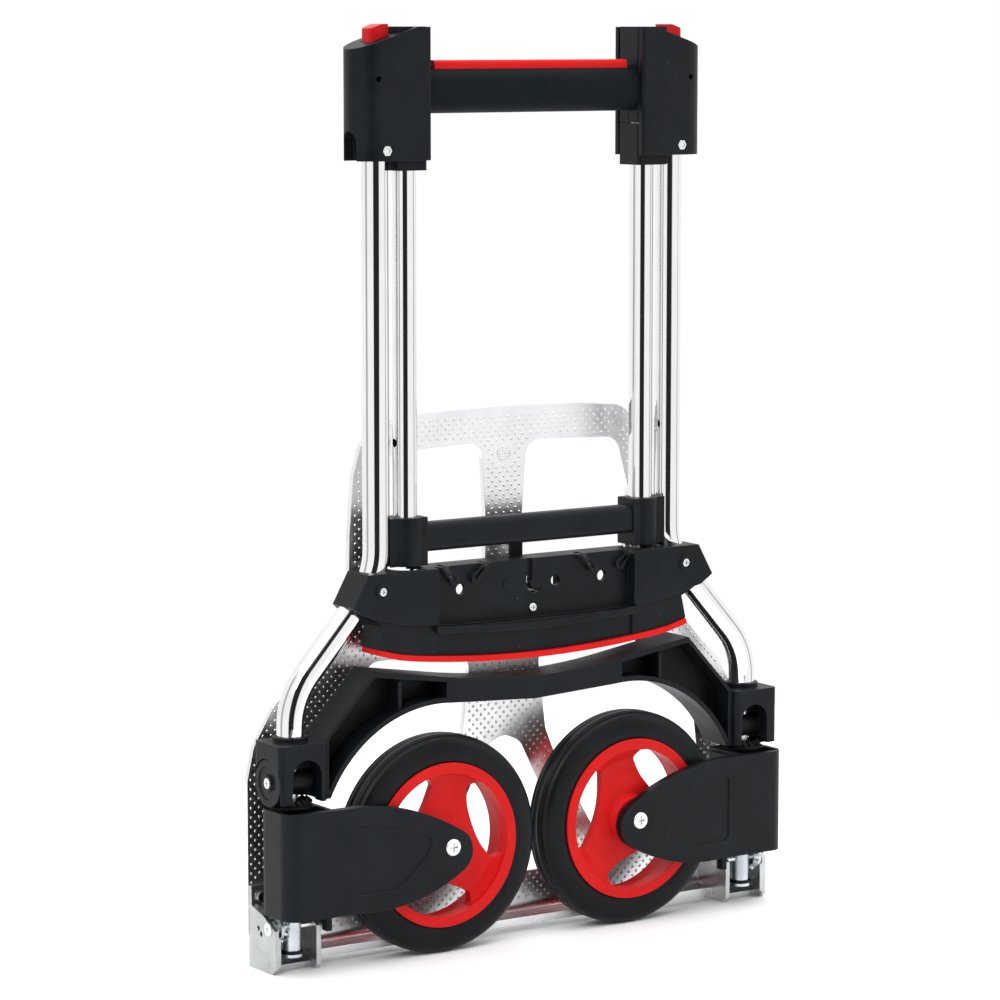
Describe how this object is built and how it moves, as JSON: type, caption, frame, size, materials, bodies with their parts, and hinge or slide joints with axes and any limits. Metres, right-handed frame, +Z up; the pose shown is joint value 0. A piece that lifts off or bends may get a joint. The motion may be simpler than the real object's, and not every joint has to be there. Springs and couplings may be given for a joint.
{
  "type": "folding hand truck",
  "caption": "Folding hand truck with telescoping handle, swing-out wheels on geared arms and a fold-down dimpled toe plate, shown folded.",
  "frame": {"origin": "on the floor, in the middle of the folded width and depth", "axes": "+Z up along the tubes, +Y towards the folded toe plate, +X to the right seen from behind"},
  "size_m": [0.4944, 0.0716, 0.749],
  "materials": {
    "bright_tube": "polished bright plated tube",
    "tyre_rubber": "satin black rubber",
    "red_plastic": "satin red moulded plastic",
    "red_soft": "soft red moulding",
    "grip_black": "soft-touch black",
    "black_plastic": "fine-grained black moulding",
    "dimpled_aluminium": "bright sheet pressed with small raised dimples",
    "cast_aluminium": "die-cast, tumbled",
    "zinc_steel": "bluish zinc plate",
    "zinc_screw": "white zinc plate",
    "plain_steel": "ground steel"
  },
  "bodies": {
    "frame": {"bumper_strip": "red_soft", "button_spring_left": "plain_steel", "button_spring_right": "plain_steel", "corner_block_left": "black_plastic", "corner_block_right": "black_plastic", "cross_frame": "black_plastic", "disc_screws": "zinc_screw", "frame_tube_left": "bright_tube", "frame_tube_right": "bright_tube", "guide_bushes": "black_plastic", "hinge_bolts": "zinc_screw", "hook_plate": "black_plastic", "hook_plate_screws": "zinc_screw", "hook_rivet": "black_plastic", "housing_bolts": "zinc_screw", "housing_front_shell_left": "black_plastic", "housing_front_shell_right": "black_plastic", "housing_nuts": "zinc_screw", "housing_rear_shell_left": "black_plastic", "housing_rear_shell_right": "black_plastic", "pivot_posts": "zinc_steel", "plate_catch": "black_plastic", "post_washers": "black_plastic", "spacer_sleeves": "zinc_steel", "tube_plugs": "black_plastic"},
    "handle": {"grip_core": "grip_black", "grip_inlay": "red_soft", "handle_end_left": "black_plastic", "handle_end_right": "black_plastic", "handle_screws": "zinc_screw", "inner_tube_left": "bright_tube", "inner_tube_right": "bright_tube", "slider_bar": "black_plastic", "slider_block_left": "black_plastic", "slider_block_right": "black_plastic"},
    "toe": {"toe_plate": "dimpled_aluminium", "bracket_left": "cast_aluminium", "bracket_right": "cast_aluminium", "bracket_rivets": "zinc_screw", "plate_gears": "zinc_steel"},
    "arm_left": {"wheel_arm_left": "black_plastic", "arm_gear_left": "zinc_steel", "axle_left": "plain_steel", "axle_screw_left": "zinc_screw"},
    "wheel_left": {"rim_left": "red_plastic", "tyre_left": "tyre_rubber", "bearings_left": "plain_steel"},
    "disc_left": {"disc_gear_left": "black_plastic"},
    "button_left": {"release_button_left": "red_plastic"},
    "pin_left": {"latch_pin_left": "black_plastic"},
    "arm_right": {"wheel_arm_right": "black_plastic", "arm_gear_right": "zinc_steel", "axle_right": "plain_steel", "axle_screw_right": "zinc_screw"},
    "wheel_right": {"rim_right": "red_plastic", "tyre_right": "tyre_rubber", "bearings_right": "plain_steel"},
    "disc_right": {"disc_gear_right": "black_plastic"},
    "button_right": {"release_button_right": "red_plastic"},
    "pin_right": {"latch_pin_right": "black_plastic"}
  },
  "joints": [
    {"name": "handle_slide", "type": "slide", "parent": "frame", "child": "handle", "axis": [0, 0, 1], "range_m": [0, 0.276]},
    {"name": "toe_plate_fold", "type": "hinge", "parent": "frame", "child": "toe", "pos_m": [0, 0, 0.036], "axis": [1, 0, 0], "range_deg": [-90, 0]},
    {"name": "arm_swing_left", "type": "hinge", "parent": "frame", "child": "arm_left", "pos_m": [-0.225, 0, 0.09], "axis": [0, 0, 1], "range_deg": [-90, 0]},
    {"name": "disc_turn_left", "type": "hinge", "parent": "frame", "child": "disc_left", "pos_m": [-0.241, 0, 0.154], "axis": [1, 0, 0], "range_deg": [0, 90]},
    {"name": "wheel_spin_left", "type": "hinge", "parent": "arm_left", "child": "wheel_left", "pos_m": [-0.0933, 0, 0.09], "axis": [0, 1, 0], "continuous": true},
    {"name": "button_press_left", "type": "slide", "parent": "frame", "child": "button_left", "axis": [0, 0, -1], "range_m": [0, 0.005], "stiffness_N_per_m": 500, "springref_m": -0.003, "deforming": ["button_spring_left"]},
    {"name": "latch_draw_left", "type": "slide", "parent": "frame", "child": "pin_left", "axis": [-1, 0, 0], "range_m": [0, 0.003]},
    {"name": "arm_swing_right", "type": "hinge", "parent": "frame", "child": "arm_right", "pos_m": [0.225, 0, 0.09], "axis": [0, 0, 1], "range_deg": [0, 90]},
    {"name": "disc_turn_right", "type": "hinge", "parent": "frame", "child": "disc_right", "pos_m": [0.241, 0, 0.154], "axis": [1, 0, 0], "range_deg": [0, 90]},
    {"name": "wheel_spin_right", "type": "hinge", "parent": "arm_right", "child": "wheel_right", "pos_m": [0.0933, 0, 0.09], "axis": [0, 1, 0], "continuous": true},
    {"name": "button_press_right", "type": "slide", "parent": "frame", "child": "button_right", "axis": [0, 0, -1], "range_m": [0, 0.005], "stiffness_N_per_m": 500, "springref_m": -0.003, "deforming": ["button_spring_right"]},
    {"name": "latch_draw_right", "type": "slide", "parent": "frame", "child": "pin_right", "axis": [1, 0, 0], "range_m": [0, 0.003]}
  ],
  "couplings": [
    {"joint": "arm_swing_left", "follows": "toe_plate_fold", "ratio": 1},
    {"joint": "disc_turn_left", "follows": "toe_plate_fold", "ratio": -1},
    {"joint": "latch_draw_left", "follows": "button_press_left", "ratio": 0.6},
    {"joint": "arm_swing_right", "follows": "toe_plate_fold", "ratio": -1},
    {"joint": "disc_turn_right", "follows": "toe_plate_fold", "ratio": -1},
    {"joint": "latch_draw_right", "follows": "button_press_right", "ratio": 0.6}
  ]
}
